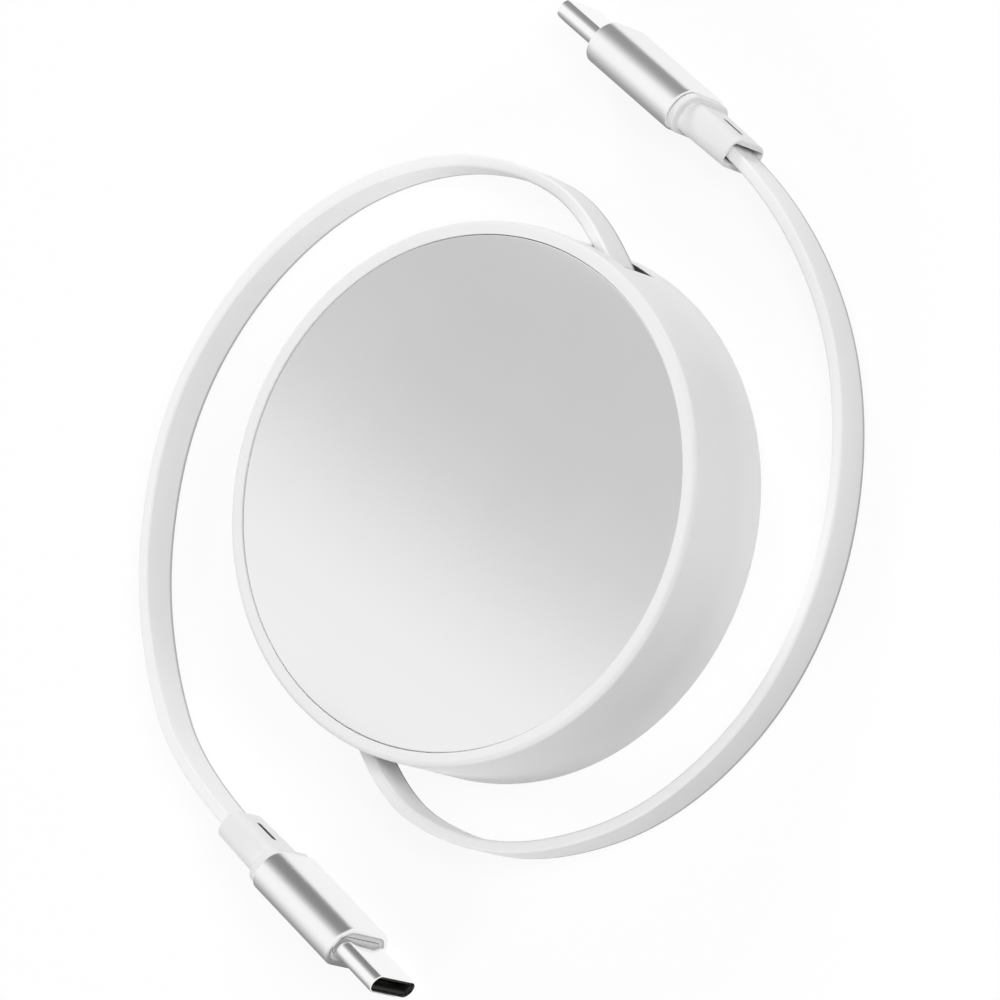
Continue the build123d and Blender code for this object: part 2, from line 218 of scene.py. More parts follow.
# the face plate: satin metal, finely brushed in one direction
plateLook = dict(tones=((0.865, 0.865, 0.87), (0.885, 0.885, 0.89)), roughness=0.15, spread=0.03, brush=0.035,
                 brushScale=(60, 6500, 60), brushDetail=3, brushRoughness=0.6)


def plateFinish(name, look):
    finish = Finish(name)
    cloud = finish.noise(finish.coords(), cloudScale, cloudDetail)
    brush = finish.noise(finish.coords("Object", look["brushScale"]), 1, look["brushDetail"], look["brushRoughness"])
    low, high = look["tones"]
    return finish.principled({
        "Base Color": finish.mix(cloud, low, high),
        "Roughness": look["roughness"] + (cloud - 0.5) * look["spread"] + (brush - 0.5) * look["brush"],
        "Metallic": 1,
    })


materials = {name: plainFinish(name, look) for name, look in finishes.items()}
materials["whiteCable"] = cableFinish("whiteCable", cableLook)
materials["metalPlate"] = plateFinish("metalPlate", plateLook)
print("finishes made,", len(materials))


def keep(mesh, name, material, slot, body, *stands):
    # one finished mesh becomes a piece that rides on its body
    mesh.materials.clear()
    mesh.materials.append(materials[material])
    piece = bpy.data.objects.new(name, mesh)
    scene.collection.objects.link(piece)
    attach(piece, body)
    if stands:
        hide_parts(*stands)
    return piece


def soften(mesh, angle=32):
    for polygon in mesh.polygons:
        polygon.use_smooth = True
    mesh.set_sharp_from_angle(angle=radians(angle))


def meshFrom(form, name):
    bmesh.ops.recalc_face_normals(form, faces=form.faces)
    mesh = bpy.data.meshes.new(name)
    form.to_mesh(mesh)
    form.free()
    return mesh


def addPrism(form, low, high):
    # a closed block between two outlines of equally many points
    low, high = [[form.verts.new(point) for point in outline] for outline in (low, high)]
    form.faces.new(reversed(low))
    form.faces.new(high)
    for index in range(len(low)):
        after = (index + 1) % len(low)
        form.faces.new((low[index], low[after], high[after], high[index]))


def plainCopy(holder):
    # the mesh of an object with its modifiers worked in
    return bpy.data.meshes.new_from_object(holder.evaluated_get(bpy.context.evaluated_depsgraph_get()))


def gridMesh(name, rings, loop):
    # rings of equally many points, joined by quads; a loop joins the last ring to the first, else the ends are capped
    form = bmesh.new()
    made = [[form.verts.new(point) for point in ring] for ring in rings]
    pairs = list(zip(made, made[1:])) + ([(made[-1], made[0])] if loop else [])
    for near, far in pairs:
        for index in range(len(near)):
            after = (index + 1) % len(near)
            form.faces.new((near[index], near[after], far[after], far[index]))
    if not loop:
        form.faces.new(reversed(made[0]))
        form.faces.new(made[-1])
    return meshFrom(form, name)


# the two stretches of flat cable, on the same points as the solids
ribbon = dict(width=5.1 * mm, thickness=1.4 * mm, edgeRound=0.32 * mm, edgeSteps=5, order=3, resolution=14)
exitHeight, lyingHeight, plugHeight = 7.15, 2.6, 5.25
routes = {
    "a": [(14.3, -17.3, exitHeight), (23.2, -9.9, exitHeight), (34.0, 4.9, exitHeight),
          (34.4, 17.0, 6.2), (29.8, 29.7, 4.7), (19.5, 41.1, 3.2),
          (4.9, 47.6, lyingHeight), (-11.2, 48.2, lyingHeight), (-27.0, 42.2, lyingHeight),
          (-38.2, 33.0, 3.0), (-45.7, 20.8, plugHeight), (-48.0, 8.8, plugHeight)],
    "b": [(-14.3, 17.3, exitHeight), (-23.2, 9.9, exitHeight), (-34.5, -5.7, exitHeight),
          (-34.8, -16.6, 6.2), (-30.7, -26.4, 4.7), (-20.4, -36.3, 3.2),
          (-4.7, -42.0, lyingHeight), (11.3, -41.6, lyingHeight), (26.4, -35.6, lyingHeight),
          (38.3, -25.8, 3.0), (46.7, -12.7, plugHeight), (48.1, -4.2, plugHeight)],
}


def routeLine(tag):
    # points read from the smooth spline through the route
    data = bpy.data.curves.new("route", "CURVE")
    data.dimensions = "3D"
    data.resolution_u = ribbon["resolution"]
    spline = data.splines.new("NURBS")
    spline.points.add(len(routes[tag]) - 1)
    for point, place in zip(spline.points, routes[tag]):
        point.co = (*(Vector(place) * mm), 1)
    spline.order_u = ribbon["order"]
    spline.use_endpoint_u = True
    holder = bpy.data.objects.new("route", data)
    scene.collection.objects.link(holder)
    line = plainCopy(holder)
    points = [vertex.co.copy() for vertex in line.vertices]
    bpy.data.objects.remove(holder)
    bpy.data.meshes.remove(line)
    return points


def roundedOutline(width, height, corner, steps):
    # a rectangle with round corners, as x and y pairs
    outline = []
    for quarter, (sideX, sideY) in enumerate(((1, 1), (-1, 1), (-1, -1), (1, -1))):
        for step in range(steps + 1):
            angle = (quarter + step / steps) * pi / 2
            outline.append((sideX * (width / 2 - corner) + corner * cos(angle),
                            sideY * (height / 2 - corner) + corner * sin(angle)))
    return outline


def markRibbon(mesh, points, outline):
    # where each point is across the width, 0 at the lower edge, and a map with metres along and round the ribbon
    count = len(outline)
    across = mesh.attributes.new("across", "FLOAT", "POINT")
    across.data.foreach_set("value", [outline[index % count][1] / ribbon["width"] + 0.5
                                      for index in range(len(mesh.vertices))])
    along, girth = [0], [0]
    for before, after in zip(points, points[1:]):
        along.append(along[-1] + (after - before).length)
    for before, after in zip(outline, outline[1:]):
        girth.append(girth[-1] + (Vector(after) - Vector(before)).length)
    layer = mesh.uv_layers.new(name="UVMap")
    for polygon in mesh.polygons:
        steps = [mesh.loops[loop].vertex_index % count for loop in polygon.loop_indices]
        closing = len(steps) == 4 and max(steps) - min(steps) > 1
        for loop, step in zip(polygon.loop_indices, steps):
            wrapped = closing and step == 0
            layer.data[loop].uv = (along[mesh.loops[loop].vertex_index // count],
                                   girth[-1] + ribbon["thickness"] if wrapped else girth[step])


def makeRibbon(tag):
    points = routeLine(tag)
    outline = roundedOutline(ribbon["thickness"], ribbon["width"], ribbon["edgeRound"], ribbon["edgeSteps"])
    rings = []
    for index, point in enumerate(points):
        along = (points[min(index + 1, len(points) - 1)] - points[max(index - 1, 0)]).normalized()
        side = along.cross(Vector((0, 0, 1))).normalized()
        up = side.cross(along)
        rings.append([point + side * x + up * y for x, y in outline])
    mesh = gridMesh("ribbon_" + tag, rings, False)
    soften(mesh)
    markRibbon(mesh, points, outline)
    piece = keep(mesh, "ribbon_" + tag, "whiteCable", "white_cable", "housing", "cable_tail_" + tag)
    length = sum((after - before).length for before, after in zip(points, points[1:]))
    return piece, points, length


ribbons = {tag: makeRibbon(tag) for tag in routes}
print("ribbons made,", [round(length / mm, 1) for piece, points, length in ribbons.values()], "mm")

# the case: a lathe profile taken from the solids, with the two exits cut through its wall
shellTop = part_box("front_shell")[1]
plateLow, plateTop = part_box("face_plate")
caseForm = dict(radius=shellTop.x, height=shellTop.z, bore=29.2 * mm, coverSeat=30.0 * mm, ledge=1.5 * mm,
                plateSeat=29.4 * mm, ceilingLow=11.55 * mm, ceilingTop=plateLow.z, frontRound=0.6 * mm,
                rimRound=0.08 * mm, backRound=0.4 * mm, seatBevel=0.1 * mm,
                screwHole=1.0 * mm, headHole=1.9 * mm, headSeat=11.95 * mm, steps=288)
plateForm = dict(spread=0.03 * mm, lift=0.12 * mm, edgeRound=0.08 * mm, edgeSteps=4, core=0.4 * mm)
exitForm = dict(heading=54, width=3.6 * mm, bottom=-1.0 * mm, top=10.35 * mm, length=15.3 * mm)


def quarterRound(centreR, centreZ, radius, start, steps=6):
    # a quarter circle in the profile, from the angle start on
    arc = []
    for step in range(steps + 1):
        angle = radians(start + 90 * step / steps)
        arc.append((centreR + radius * cos(angle), centreZ + radius * sin(angle)))
    return arc


def latheRings(profile, steps):
    rings = []
    for radius, height in profile:
        rings.append([(radius * cos(2 * pi * step / steps), radius * sin(2 * pi * step / steps), height)
                      for step in range(steps)])
    return rings


def cutBy(mesh, cutter):
    holder = bpy.data.objects.new("cutHolder", mesh)
    tool = bpy.data.objects.new("cutTool", cutter)
    scene.collection.objects.link(holder)
    scene.collection.objects.link(tool)
    cut = holder.modifiers.new("cut", "BOOLEAN")
    cut.operation, cut.solver, cut.object = "DIFFERENCE", "EXACT", tool
    result = plainCopy(holder)
    bpy.data.objects.remove(holder)
    bpy.data.objects.remove(tool)
    return result


def exitCutter(e):
    form = bmesh.new()
    for turn in (0, 180):
        heading = Quaternion((0, 0, 1), radians(turn))
        along = heading @ Quaternion((0, 0, 1), radians(e["heading"])) @ Vector((1, 0, 0))
        across = Vector((-along.y, along.x, 0))
        middle = heading @ Vector((caseForm["radius"], 0, 0))
        outline = [middle + along * sideA * e["length"] / 2 + across * sideB * e["width"] / 2
                   for sideA, sideB in ((-1, -1), (1, -1), (1, 1), (-1, 1))]
        addPrism(form, *[[corner + Vector((0, 0, height)) for corner in outline]
                         for height in (e["bottom"], e["top"])])
    return meshFrom(form, "exitCutter")


def makeShell(c):
    profile = [
        (c["screwHole"], c["ceilingLow"]), (c["bore"], c["ceilingLow"]), (c["bore"], c["ledge"]),
        (c["coverSeat"], c["ledge"]), (c["coverSeat"], c["seatBevel"]), (c["coverSeat"] + c["seatBevel"], 0),
        (c["radius"] - 2 * c["backRound"], 0),  # a point just off each rounding keeps the flats flat
        *quarterRound(c["radius"] - c["backRound"], c["backRound"], c["backRound"], -90),
        (c["radius"], 2 * c["backRound"]), (c["radius"], c["height"] - 2 * c["frontRound"]),
        *quarterRound(c["radius"] - c["frontRound"], c["height"] - c["frontRound"], c["frontRound"], 0),
        (c["radius"] - 1.2 * c["frontRound"], c["height"]),
        (c["plateSeat"] + 1.6 * c["rimRound"], c["height"]),
        *quarterRound(c["plateSeat"] + c["rimRound"], c["height"] - c["rimRound"], c["rimRound"], 90),
        (c["plateSeat"], c["ceilingTop"]), (c["headHole"], c["ceilingTop"]), (c["headHole"], c["headSeat"]),
        (c["screwHole"], c["headSeat"]),
    ]
    mesh = cutBy(gridMesh("caseShell", latheRings(profile, c["steps"]), True), exitCutter(exitForm))
    soften(mesh)
    return keep(mesh, "caseShell", "whiteCase", "white_case", "housing", "front_shell")


def makePlate(p):
    radius, top, edge = plateTop.x + p["spread"], plateTop.z + p["lift"], p["edgeRound"]
    profile = [
        (p["core"], plateLow.z), (radius, plateLow.z), (radius, top - 2 * edge),
        *quarterRound(radius - edge, top - edge, edge, 0, p["edgeSteps"]),
        (radius - 1.5 * edge, top), (p["core"], top),
    ]
    mesh = gridMesh("facePlate", latheRings(profile, caseForm["steps"]), False)
    soften(mesh)
    return keep(mesh, "facePlate", "metalPlate", "metal_plate", "housing", "face_plate")


makeShell(caseForm)
makePlate(plateForm)
print("case made")

# the plugs: stations run from the end of the flat cable towards the tip
plugForm = dict(
    mouth=-3.0 * mm, collar=4.5 * mm, sleeve=5.5 * mm, coreStart=8.2 * mm, sleeveEnd=19.5 * mm,
    shellStart=15.5 * mm, shellEnd=26.15 * mm, insertEnd=25.8 * mm,
    sleeveSize=(10.4 * mm, 5.4 * mm), sleeveWall=0.6 * mm, sleeveBevel=0.28 * mm,
    beadDepth=1.5 * mm, bead=0.04 * mm,
    collarSize=(9.8 * mm, 4.9 * mm), collarRound=0.18 * mm,
    bootRoot=(7.6 * mm, 3.9 * mm), bootMouth=(6.9 * mm, 3.7 * mm), bootRound=1.6 * mm, lipRound=0.16 * mm,
    pocket=(6.0 * mm, 2.3 * mm), pocketRound=0.5 * mm, pocketFlare=0.1 * mm, flareDepth=0.4 * mm,
    slitStart=-1.25 * mm, slitEnd=2.05 * mm, slitWidth=0.9 * mm, slitDepth=0.9 * mm, slitSteps=16,
    inlaySink=0.05 * mm, shellSize=(8.25 * mm, 2.4 * mm), shellWall=0.2 * mm,
    slot=(6.9 * mm, 1.0 * mm), slotDepth=5.5 * mm, insertBevel=0.1 * mm, gap=0.05 * mm,
    cornerSteps=12, cornerSpare=0.001 * mm,
)


def inset(size, by):
    return size[0] - 2 * by, size[1] - 2 * by


def plugPlace(tag):
    # returns a function from width, height and station to a place in the frame
    end, before = Vector(routes[tag][-1]) * mm, Vector(routes[tag][-2]) * mm
    heading = (end - before).normalized()
    up = Vector((0, 0, 1))
    side = up.cross(heading)
    return lambda x, y, station: end + up * x + side * y + heading * station


def sectionRings(place, sections):
    # each section is width, height, corner radius and station
    rings = []
    for width, height, corner, station in sections:
        corner = min(corner, height / 2 - plugForm["cornerSpare"])
        outline = roundedOutline(width, height, corner, plugForm["cornerSteps"])
        rings.append([place(x, y, station) for x, y in outline])
    return rings


def lip(size, corner, station, radius, inward, steps=5):
    # a rounded edge at the end of a section; inward is 1 at the tip end and -1 at the cable end
    sections = []
    for step in range(steps + 1):
        angle = pi / 2 * step / steps
        depth = radius * (1 - cos(angle))
        sections.append((*inset(size, depth), corner - depth, station - inward * radius * (1 - sin(angle))))
    return sections


def makeSleeve(tag, p):
    outer, bevel = p["sleeveSize"], p["sleeveBevel"]
    inner = inset(outer, p["sleeveWall"])
    bead = inset(inner, p["bead"])  # closes the gap round the inner mould
    sections = [
        *reversed(lip(outer, outer[1] / 2, p["sleeve"], bevel, -1)),
        (*outer, outer[1] / 2, p["sleeve"] + 2 * bevel), (*outer, outer[1] / 2, p["sleeveEnd"] - 2 * bevel),
        *lip(outer, outer[1] / 2, p["sleeveEnd"], bevel, 1),
        (*bead, bead[1] / 2, p["sleeveEnd"]), (*bead, bead[1] / 2, p["sleeveEnd"] - p["beadDepth"]),
        (*inner, inner[1] / 2, p["sleeveEnd"] - p["beadDepth"]), (*inner, inner[1] / 2, p["sleeve"]),
    ]
    mesh = gridMesh("sleeve", sectionRings(plugPlace(tag), sections), True)
    soften(mesh)
    return keep(mesh, "sleeveTube_" + tag, "satinAluminium", "satin_aluminium", "housing", "sleeve_" + tag)


def slitForm(name, tag, p, reach):
    # a round-ended slit in each wide face of the boot, from its floor up to the height that reach gives at a station
    place = plugPlace(tag)
    half, middle = p["slitWidth"] / 2, (p["slitStart"] + p["slitEnd"]) / 2
    straight = (p["slitEnd"] - p["slitStart"]) / 2 - half
    outline = []
    for step in range(p["slitSteps"]):
        angle = 2 * pi * (step + 0.5) / p["slitSteps"]
        outline.append((half * cos(angle), middle + (straight if sin(angle) > 0 else -straight) + half * sin(angle)))
    low = p["bootMouth"][1] / 2 - p["slitDepth"]
    form = bmesh.new()
    for turn in (-1, 1):
        addPrism(form, [place(x, turn * low, station) for x, station in outline],
                 [place(x, turn * reach(station), station) for x, station in outline])
    return meshFrom(form, name)


def makeSlitShade(tag, p):
    # painted shade: a near-black filling of the slits, just under the boot's skin, stands for the shade deep in each
    # slit
    slope = (p["bootRoot"][1] - p["bootMouth"][1]) / 2 / (p["collar"] - p["mouth"])

    def underSkin(station):
        return p["bootMouth"][1] / 2 + slope * (station - p["mouth"]) - p["inlaySink"]

    mesh = slitForm("slitInlay", tag, p, underSkin)
    soften(mesh)
    return keep(mesh, "slitInlay_" + tag, "darkSlotShade", "dark_guide", "housing")


def makeBoot(tag, p):
    root, mouth, collar = p["bootRoot"], p["bootMouth"], p["collarSize"]
    spigot = inset(p["sleeveSize"], p["sleeveWall"] + p["gap"])
    sections = [
        (*p["pocket"], p["pocketRound"], 0), (*p["pocket"], p["pocketRound"], p["mouth"] + p["flareDepth"]),
        (*inset(p["pocket"], -p["pocketFlare"]), p["pocketRound"], p["mouth"]),
        *reversed(lip(mouth, p["bootRound"], p["mouth"], p["lipRound"], -1)),
        (*root, p["bootRound"], p["collar"]),
        *reversed(lip(collar, collar[1] / 2, p["collar"], p["collarRound"], -1)),
        *lip(collar, collar[1] / 2, p["sleeve"], p["collarRound"], 1),
        (*spigot, spigot[1] / 2, p["sleeve"]), (*spigot, spigot[1] / 2, p["coreStart"]),
    ]
    solid = gridMesh("boot", sectionRings(plugPlace(tag), sections), False)
    mesh = cutBy(solid, slitForm("slitCutter", tag, p, lambda station: root[1]))
    soften(mesh)
    return keep(mesh, "cableBoot_" + tag, "whiteBoot", "white_boot", "housing", "strain_relief_" + tag)


def makeShellTube(tag, p):
    outer, wall = p["shellSize"], p["shellWall"]
    inner, bevel = inset(outer, wall), 0.2 * wall
    sections = [
        (*outer, outer[1] / 2, p["shellStart"]), (*outer, outer[1] / 2, p["shellEnd"] - 2 * wall),
        *lip(outer, outer[1] / 2, p["shellEnd"], 3 * bevel, 1),
        (*inset(inner, -bevel), inner[1] / 2 + bevel, p["shellEnd"]),
        (*inner, inner[1] / 2, p["shellEnd"] - wall), (*inner, inner[1] / 2, p["shellStart"]),
    ]
    mesh = gridMesh("plugTube", sectionRings(plugPlace(tag), sections), True)
    soften(mesh)
    return keep(mesh, "plugTube_" + tag, "plugSteel", "plug_steel", "housing", "plug_shell_" + tag)


def makeInsert(tag, p):
    outer = inset(p["shellSize"], p["shellWall"] + p["gap"])
    slot, bevel, end = p["slot"], p["insertBevel"], p["insertEnd"]
    sections = [
        (*outer, outer[1] / 2, p["shellStart"]), (*outer, outer[1] / 2, end - bevel),
        (*inset(outer, bevel), outer[1] / 2 - bevel, end), (*inset(slot, -bevel), 2 * bevel, end),
        (*slot, bevel, end - bevel), (*slot, bevel, end - p["slotDepth"]),
    ]
    mesh = gridMesh("insert", sectionRings(plugPlace(tag), sections), False)
    soften(mesh)
    return keep(mesh, "mouthInsert_" + tag, "blackInsulator", "black_insulator", "housing", "contact_insert_" + tag)


# a geometry tree: named inputs with their values, then nodes from plain calls
class Grower:
    def __init__(self, name, inputs):
        self.tree = bpy.data.node_groups.new(name, "GeometryNodeTree")
        self.tree.interface.new_socket("Geometry", in_out="OUTPUT", socket_type="NodeSocketGeometry")
        self.values = inputs
        for label, value in inputs.items():
            kind = {int: "Int", float: "Float"}.get(type(value), "Material")
            self.tree.interface.new_socket(label, in_out="INPUT", socket_type="NodeSocket" + kind)
        self.inputs = self.tree.nodes.new("NodeGroupInput").outputs

    def node(self, kind, settings={}, sockets={}):
        made = self.tree.nodes.new(kind)
        for name, value in settings.items():
            setattr(made, name, value)
        for name, value in sockets.items():
            for part in value if isinstance(value, list) else [value]:
                if isinstance(part, bpy.types.NodeSocket):
                    self.tree.links.new(part, made.inputs[name])
                else:
                    made.inputs[name].default_value = part
        return made.outputs[0]

    def vector(self, **sockets):
        return self.node("ShaderNodeCombineXYZ", {}, sockets)

    def times(self, first, second):
        return self.node("ShaderNodeMath", {"operation": "MULTIPLY"}, {0: first, 1: second})

    def grow(self, geometry):
        whole = self.node("GeometryNodeRealizeInstances", {}, {"Geometry": geometry})
        painted = self.node("GeometryNodeSetMaterial", {}, {"Geometry": whole, "Material": self.inputs["Material"]})
        self.tree.links.new(painted, self.tree.nodes.new("NodeGroupOutput").inputs[0])
        holder = bpy.data.objects.new("grown", bpy.data.meshes.new("grown"))
        scene.collection.objects.link(holder)
        modifier = holder.modifiers.new("grow", "NODES")
        modifier.node_group = self.tree
        for socket in self.tree.interface.items_tree:
            if socket.in_out == "INPUT":
                modifier[socket.identifier] = self.values[socket.name]
        mesh = plainCopy(holder)
        holder.modifiers.remove(modifier)
        bpy.data.objects.remove(holder)
        return mesh


# two rows of sprung contact strips in the mouth of each plug
contactForm = dict(count=12, pitch=0.5 * mm, rowGap=0.88 * mm, width=0.25 * mm, thickness=0.12 * mm, length=4.0 * mm,
                   bow=0.16 * mm, bowPlace=0.3, resolution=8, tip=24.5 * mm)


def makeContacts(tag, c):
    grower = Grower("contactRows", {
        "Count": c["count"], "Pitch": c["pitch"], "Span": (c["count"] - 1) * c["pitch"], "Row Gap": c["rowGap"],
        "Width": c["width"], "Thickness": c["thickness"], "Length": c["length"], "Bow": c["bow"],
        "Material": materials["goldContact"]})
    given = grower.inputs
    strip = grower.node("GeometryNodeCurveToMesh", {}, {
        "Curve": grower.node("GeometryNodeCurveQuadraticBezier", {}, {
            "Resolution": c["resolution"], "Start": (0, 0, 0), "Middle": grower.vector(
                Y=grower.times(given["Bow"], -1), Z=grower.times(given["Length"], -c["bowPlace"])),
            "End": grower.vector(Z=grower.times(given["Length"], -1))}),
        "Profile Curve": grower.node("GeometryNodeCurvePrimitiveQuadrilateral", {}, {
            "Width": given["Width"], "Height": given["Thickness"]}),
        "Fill Caps": True})
    points = grower.node("GeometryNodeMeshLine", {}, {
        "Count": given["Count"], "Offset": grower.vector(X=given["Pitch"]),
        "Start Location": grower.vector(X=grower.times(given["Span"], -0.5), Y=grower.times(given["Row Gap"], 0.5))})
    row = grower.node("GeometryNodeInstanceOnPoints", {}, {"Points": points, "Instance": strip})
    otherRow = grower.node("GeometryNodeTransform", {}, {"Geometry": row, "Rotation": (0, 0, pi)})
    mesh = grower.grow(grower.node("GeometryNodeJoinGeometry", {}, {"Geometry": [row, otherRow]}))
    place = plugPlace(tag)
    for vertex in mesh.vertices:
        vertex.co = place(vertex.co.x, vertex.co.y, c["tip"] + vertex.co.z)
    soften(mesh)
    return keep(mesh, "contactStrips_" + tag, "goldContact", "gold_contact", "housing", "contacts_" + tag)


# the cable still on the reel: both halves wound together from the hub outwards
woundForm = dict(innerRadius=11.8 * mm, outerRadius=20.6 * mm, turns=3.0, width=ribbon["width"],
                 thickness=1.36 * mm, resolution=96, height=exitHeight * mm, heading=-50.4)


def makeWound(w):
    grower = Grower("woundLayers", {
        "Inner Radius": w["innerRadius"], "Outer Radius": w["outerRadius"], "Turns": w["turns"], "Width": w["width"],
        "Thickness": w["thickness"], "Resolution": w["resolution"], "Material": materials["whiteCable"]})
    given = grower.inputs
    spiral = grower.node("GeometryNodeCurveSpiral", {}, {
        "Resolution": given["Resolution"], "Rotations": given["Turns"], "Start Radius": given["Inner Radius"],
        "End Radius": given["Outer Radius"], "Height": 0, "Reverse": True})
    upright = grower.node("GeometryNodeSetCurveNormal", {"mode": "Z_UP"}, {"Curve": spiral})
    layers = grower.node("GeometryNodeCurveToMesh", {}, {
        "Curve": upright, "Fill Caps": True, "Profile Curve": grower.node(
            "GeometryNodeCurvePrimitiveQuadrilateral", {}, {"Width": given["Thickness"], "Height": given["Width"]})})
    otherHalf = grower.node("GeometryNodeTransform", {}, {"Geometry": layers, "Rotation": (0, 0, pi)})
    mesh = grower.grow(grower.node("GeometryNodeJoinGeometry", {}, {"Geometry": [layers, otherHalf]}))
    across = mesh.attributes.new("across", "FLOAT", "POINT")
    across.data.foreach_set("value", [vertex.co.z / w["width"] + 0.5 for vertex in mesh.vertices])
    turn = Quaternion((0, 0, 1), radians(w["heading"] - 360 * w["turns"]))
    for vertex in mesh.vertices:
        vertex.co = turn @ vertex.co + Vector((0, 0, w["height"]))
    soften(mesh)
    return keep(mesh, "woundLayers", "whiteCable", "white_cable", "reel", "wound_cable")


# the power spring: coil and outer end turn with the reel, and the hook in the post stays with the case
springForm = dict(firstRadius=3.425 * mm, pitch=0.9 * mm, turns=6, thickness=0.25 * mm, hookStart=1.7 * mm,
                  stepsPerTurn=72)


def makeSpring(s):
    low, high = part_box("power_spring")
    half = s["thickness"] / 2
    corners = ((-half, low.z), (half, low.z), (half, high.z), (-half, high.z))
    lastRadius = s["firstRadius"] + s["turns"] * s["pitch"]
    rings = []
    for step in range(s["turns"] * s["stepsPerTurn"] + 1):
        angle = 2 * pi * step / s["stepsPerTurn"]
        radius = s["firstRadius"] + s["pitch"] * step / s["stepsPerTurn"]
        rings.append([(cos(angle) * (radius + x), sin(angle) * (radius + x), z) for x, z in corners])
    straights = {"springEnd": (lastRadius, high.x), "springHook": (s["hookStart"], s["firstRadius"])}
    meshes = {"springCoil": gridMesh("springCoil", rings, False)}
    for name, span in straights.items():
        meshes[name] = gridMesh(name, [[(x, y, z) for y, z in corners] for x in span], False)
    for mesh in meshes.values():
        soften(mesh)
    keep(meshes["springCoil"], "springCoil", "springSteel", "spring_steel", "reel", "power_spring")
    keep(meshes["springEnd"], "springEnd", "springSteel", "spring_steel", "reel")
    keep(meshes["springHook"], "springHook", "springSteel", "spring_steel", "housing")


plugMakers = (makeSleeve, makeBoot, makeSlitShade, makeShellTube, makeInsert)
plugPieces = {tag: [make(tag, plugForm) for make in plugMakers] + [makeContacts(tag, contactForm)] for tag in routes}
makeWound(woundForm)
makeSpring(springForm)
print("plugs, winding and spring made")

# the pieces that stay as the solids
nodeFinish = {"rear_cover": "whiteCase", "centre_screw": "plainSteel", "thrust_washer": "naturalPlastic",
              "reel_body": "naturalPlastic", "track_flange": "naturalPlastic", "lock_ball": "brightSteel"}
# the exit guides are near-black, as painted shade inside the cable exits
for tag in routes:
    nodeFinish.update({"exit_guide_" + tag: "darkSlotShade", "paddle_card_" + tag: "circuitBoard",
                       "plug_core_" + tag: "plugMould"})
for name, finish in nodeFinish.items():
    nodes[name].data.materials.clear()
    nodes[name].data.materials.append(materials[finish])
print("solids dressed,", len(nodeFinish))

for tag, (piece, points, length) in ribbons.items():
    plugNodes = [nodes[name + "_" + tag] for name in ("paddle_card", "plug_core")]
    plugPieces[tag] + plugNodes

# the studio: a white floor that keeps a soft shadow, an even sky and four soft lamps
studio = dict(floorSize=3.0, floorDrop=0.02 * mm, floorTone=(0.62, 0.62, 0.62), seenTone=(1, 1, 1),
              cameraGlow=0.9, glossGlow=0.97, skyDiffuse=0.22)


def quad(name, middle, across, up, material):
    # a flat studio piece from its middle and two half edges, with a map from 0 to 1
    mesh = bpy.data.meshes.new(name)
    middle, across, up = Vector(middle), Vector(across), Vector(up)
    mesh.from_pydata([middle - across - up, middle + across - up, middle + across + up, middle - across + up],
                     [], [(0, 1, 2, 3)])
    layer = mesh.uv_layers.new(name="UVMap")
    for loop, corner in zip(layer.data, ((0, 0), (1, 0), (1, 1), (0, 1))):
        loop.uv = corner
    mesh.materials.append(material)
    piece = bpy.data.objects.new(name, mesh)
    scene.collection.objects.link(piece)
    return piece


def rayKinds(finish):
    # 1 for what the camera sees itself, and 1 for what it sees in metal or glass
    camera, glossy, through = [finish.node("LightPath", output=f"Is {kind} Ray")
                               for kind in ("Camera", "Glossy", "Transmission")]
    return camera, glossy + through


def makeFloor():
    finish = Finish("floorWhite")
    camera, mirrored = rayKinds(finish)
    matt = finish.node("BsdfDiffuse", {}, {"Color": finish.mix(camera, studio["floorTone"], studio["seenTone"])})
    glow = finish.node("Emission", {}, {"Color": (1, 1, 1, 1), "Strength": 1})
    share = camera * studio["cameraGlow"] + mirrored * studio["glossGlow"]
    half = studio["floorSize"] / 2
    quad("floor", (0, 0, -studio["floorDrop"]), (half, 0, 0), (0, half, 0),
         finish.surface(finish.node("MixShader", {}, {0: share, 1: matt, 2: glow})))


def makeSky():
    finish = Finish("sky", "worlds")
    camera, mirrored = rayKinds(finish)
    strength = studio["skyDiffuse"] + (camera + mirrored) * (1 - studio["skyDiffuse"])
    scene.world = finish.surface(finish.node("Background", {}, {"Color": (1, 1, 1, 1), "Strength": strength}),
                                 "OutputWorld")


# each lamp: azimuth and elevation in degrees, size and power
lampDistance = 0.9
lamps = {
    "key": dict(azimuth=-57, elevation=51, size=0.32, power=4.15),
    "rightSide": dict(azimuth=45, elevation=20, size=0.2, power=3.6),
    "leftSide": dict(azimuth=168, elevation=25, size=0.45, power=4.0),
    "nearSide": dict(azimuth=-30, elevation=20, size=0.45, power=0.45),
}


def makeLamp(name, lamp):
    data = bpy.data.lights.new(name, "AREA")
    data.size = lamp["size"]
    data.energy = lamp["power"]
    light = bpy.data.objects.new(name, data)
    azimuth, elevation = radians(lamp["azimuth"]), radians(lamp["elevation"])
    towards = Vector((cos(elevation) * cos(azimuth), cos(elevation) * sin(azimuth), sin(elevation)))
    light.location = towards * lampDistance
    light.rotation_mode = "QUATERNION"
    light.rotation_quaternion = (-towards).to_track_quat("-Z", "Y")
    light.visible_glossy = False
    scene.collection.objects.link(light)


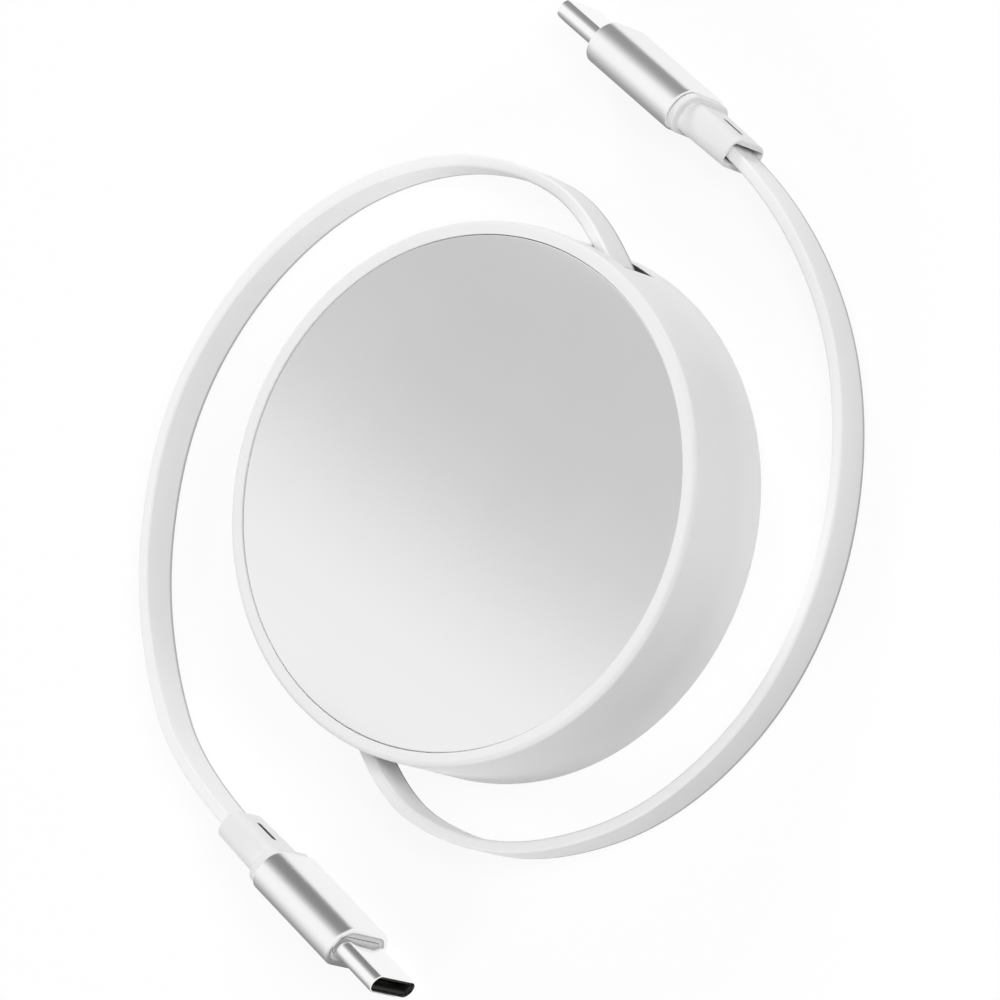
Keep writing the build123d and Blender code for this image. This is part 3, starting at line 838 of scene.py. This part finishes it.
# cards that only reflections see: one shades half of the face plate, and four for each plug draw the light and dark
# bands along its metal; the stops are grey tones across the card
cards = {
    "plateShade": dict(middle=(-0.02, 0.194, 0.3), across=(0.055, -0.003, 0), up=(0.0035, 0.065, 0),
                       stops=((0, 1), (0.13, 1), (0.32, 0.63), (1, 0.63))),
    "rightFlag": dict(middle=(0.078, 0.022, 0.0376), across=(0, 0, 0.0374), up=(0, 0.055, 0), fade=0.24,
                      stops=((0, 0.28), (0.33, 0.33), (0.58, 0.65), (1, 1))),
    "leftFlag": dict(middle=(-0.036, 0.004, 0.028), across=(0, 0, 0.0222), up=(0, 0.042, 0), fade=0.28,
                     stops=((0, 0.22), (0.3, 0.27), (0.56, 0.6), (1, 1))),
    "rightTop": dict(middle=(0.0455, 0.035, 0.055), across=(0.0195, 0, 0), up=(0, 0.035, 0),
                     stops=((0, 1), (1, 1))),
    "leftTop": dict(middle=(-0.0555, 0.028, 0.055), across=(0.0195, 0, 0), up=(0, 0.033, 0),
                    stops=((0, 1), (1, 1))),
    "rightEdge": dict(middle=(0.0428, 0.0129, 0.0101), across=(0, 0, 0.01), up=(0.0026, 0.0158, 0),
                      stops=((0, 0.3), (0.38, 0.34), (0.58, 0.6), (0.7, 0.75), (0.8, 0.88), (1, 1))),
    # painted shadow: a dark strip on the floor beside the right plug, for the far edge of its metal to reflect
    "rightShadowStrip": dict(middle=(0.0452, 0.0125, 0.0003), across=(0.0024, -0.0004, 0), up=(0.0026, 0.0158, 0),
                       stops=((0, 0.2), (1, 0.2))),
    "leftEdge": dict(middle=(-0.0584, -0.0025, 0.0101), across=(0, 0, 0.01), up=(0.003, 0.0157, 0),
                     stops=((0, 0.28), (0.35, 0.32), (0.53, 0.58), (0.63, 0.75), (0.72, 0.88), (1, 1))),
    # painted shadow: a dark strip on the floor beside the left plug, for the far edge of its metal to reflect
    "leftShadowStrip": dict(middle=(-0.056, -0.003, 0.0003), across=(0.0024, -0.0005, 0), up=(0.003, 0.0157, 0),
                      stops=((0, 0.2), (1, 0.2))),
}


def makeCard(name, card):
    finish = Finish(name)
    place = finish.node("TexCoord", output="UV")
    across, along = [finish.node("SeparateXYZ", {}, {0: place}, output=axis) for axis in (0, 1)]
    shader = finish.node("Emission", {}, {"Color": finish.ramp(card["stops"], across), "Strength": 1})
    if "fade" in card:  # both ends of the card thin out, so that its outline doesn't show in the face plate
        solid = finish.ramp(((0, 0), (card["fade"], 1), (1 - card["fade"], 1), (1, 0)), along)
        shader = finish.node("MixShader", {}, {0: solid, 1: finish.node("BsdfTransparent"), 2: shader})
    piece = quad(name, card["middle"], card["across"], card["up"], finish.surface(shader))
    piece.visible_camera = piece.visible_diffuse = piece.visible_transmission = piece.visible_shadow = False


makeFloor()
makeSky()
for lampName, lamp in lamps.items():
    makeLamp(lampName, lamp)
for cardName, card in cards.items():
    makeCard(cardName, card)
scene.view_settings.view_transform = "Standard"
print("studio lit")
